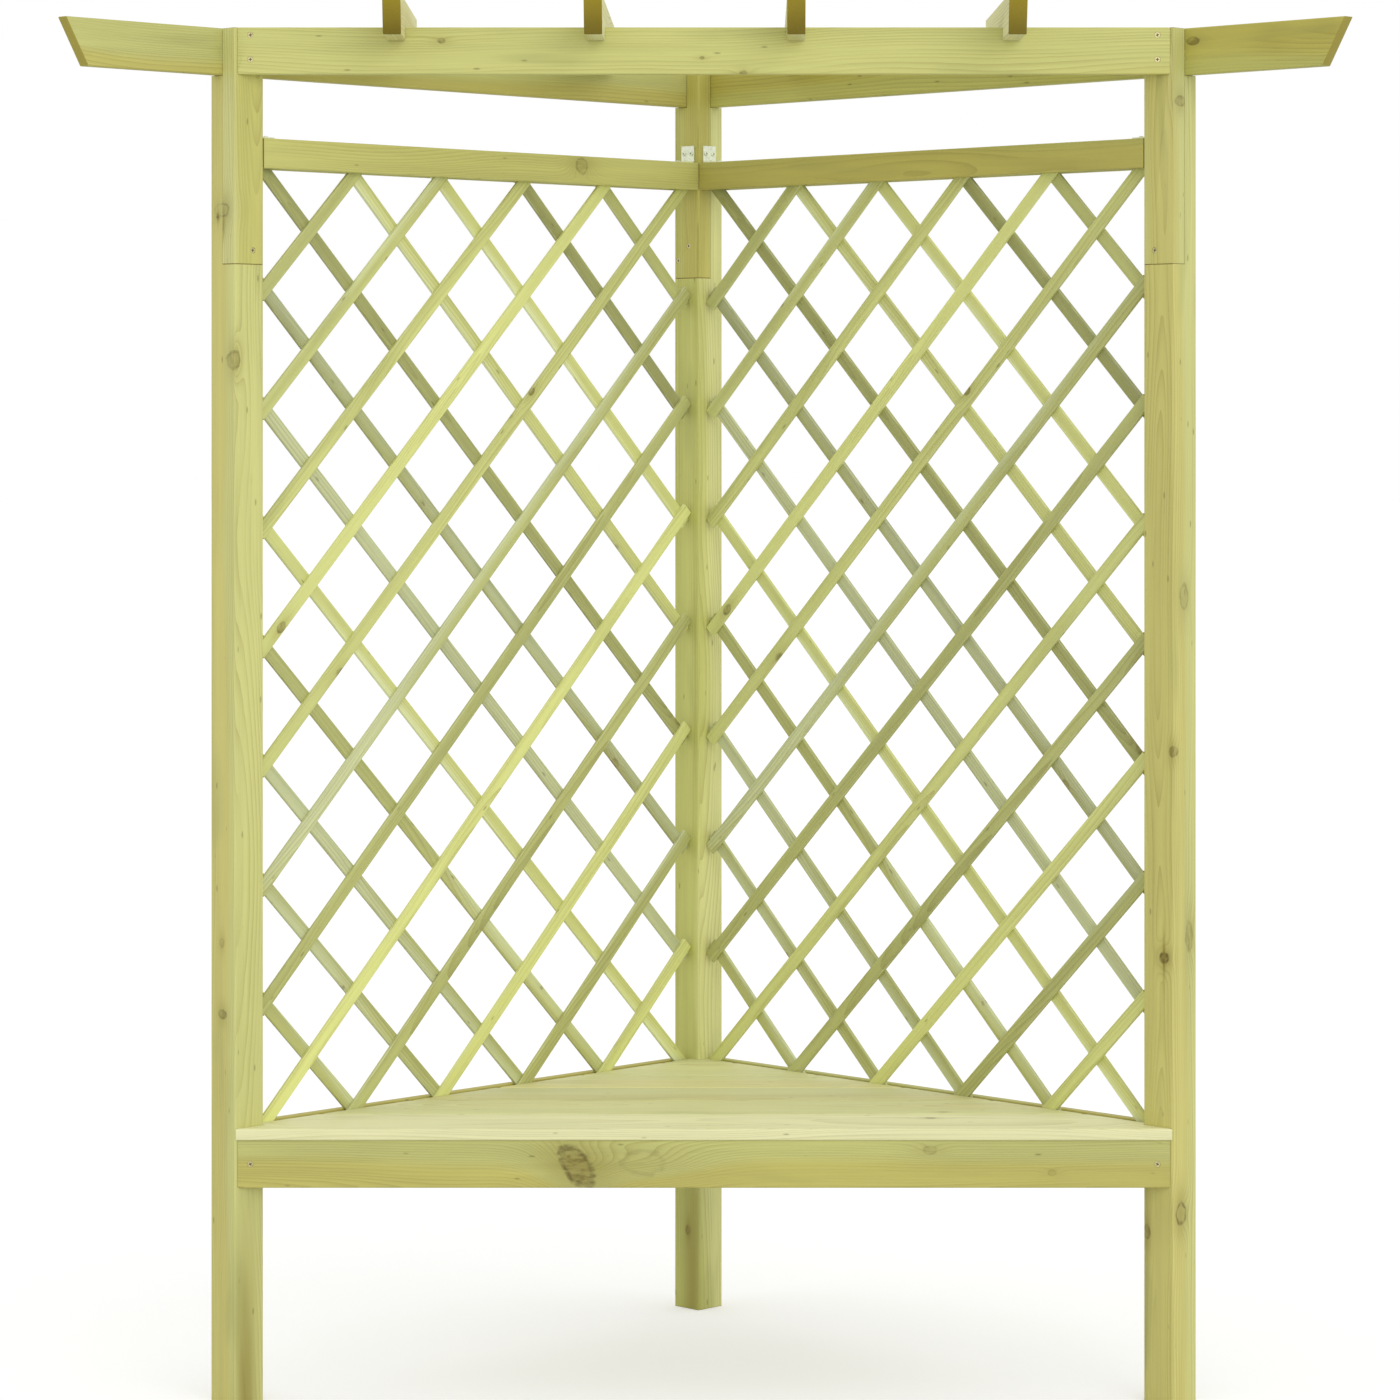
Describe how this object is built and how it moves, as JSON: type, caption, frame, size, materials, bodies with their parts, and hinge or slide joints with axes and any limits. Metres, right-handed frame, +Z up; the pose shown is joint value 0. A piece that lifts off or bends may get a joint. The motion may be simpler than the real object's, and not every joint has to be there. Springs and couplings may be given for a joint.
{
  "type": "corner arbour seat",
  "caption": "Corner arbour in green pressure-treated softwood: triangular slatted bench between diagonal trellis walls, with overhanging beams and short rafters above.",
  "frame": {"origin": "centre of the corner post's foot, on the ground", "axes": "+X right and +Y from the open front to the corner post, as seen from the front; +Z up"},
  "size_m": [1.8022, 0.9254, 2.009],
  "materials": {
    "post_timber": "planed, pressure-treated, pale green",
    "beam_timber": "planed, pressure-treated, pale green",
    "rail_timber": "planed, pressure-treated, green",
    "rafter_timber": "planed, pressure-treated, green-brown end grain",
    "lath_timber": "sawn, pressure-treated, green",
    "seat_timber": "planed, pressure-treated, pale",
    "bracket_steel": "galvanised",
    "screw_steel": "yellow zinc plated"
  },
  "bodies": {
    "root": {"post_front_left_lower": "post_timber", "post_front_left_upper": "post_timber", "post_front_right_lower": "post_timber", "post_front_right_upper": "post_timber", "post_back_lower": "post_timber", "post_back_upper": "post_timber", "side_beam_left": "beam_timber", "side_beam_right": "beam_timber", "front_beam": "beam_timber", "rafter_1": "rafter_timber", "rafter_2": "rafter_timber", "rafter_3": "rafter_timber", "rafter_4": "rafter_timber", "top_rail_inner_left": "rail_timber", "top_rail_outer_left": "rail_timber", "bottom_rail_inner_left": "rail_timber", "bottom_rail_outer_left": "rail_timber", "top_rail_inner_right": "rail_timber", "top_rail_outer_right": "rail_timber", "bottom_rail_inner_right": "rail_timber", "bottom_rail_outer_right": "rail_timber", "trellis_left": "lath_timber", "trellis_right": "lath_timber", "seat_board_1": "seat_timber", "seat_board_2": "seat_timber", "seat_board_3": "seat_timber", "seat_board_4": "seat_timber", "seat_board_5": "seat_timber", "seat_board_6": "seat_timber", "seat_apron": "beam_timber", "seat_bearer": "rail_timber", "bearer_bracket": "bracket_steel", "top_bracket_left_first": "bracket_steel", "top_bracket_left_last": "bracket_steel", "bottom_bracket_left_first": "bracket_steel", "bottom_bracket_left_last": "bracket_steel", "top_bracket_right_first": "bracket_steel", "top_bracket_right_last": "bracket_steel", "bottom_bracket_right_first": "bracket_steel", "bottom_bracket_right_last": "bracket_steel", "front_beam_screw_left_1": "screw_steel", "front_beam_screw_left_2": "screw_steel", "front_beam_screw_right_1": "screw_steel", "front_beam_screw_right_2": "screw_steel", "apron_screw_left": "screw_steel", "apron_screw_right": "screw_steel", "lap_screw_front_left": "screw_steel", "lap_screw_front_right": "screw_steel", "lap_screw_back_1": "screw_steel", "lap_screw_back_2": "screw_steel", "side_beam_screw_left_front": "screw_steel", "side_beam_screw_left_back": "screw_steel", "side_beam_screw_right_front": "screw_steel", "side_beam_screw_right_back": "screw_steel", "rafter_screw_1": "screw_steel", "rafter_screw_2": "screw_steel", "rafter_screw_3": "screw_steel", "rafter_screw_4": "screw_steel"}
  },
  "joints": []
}
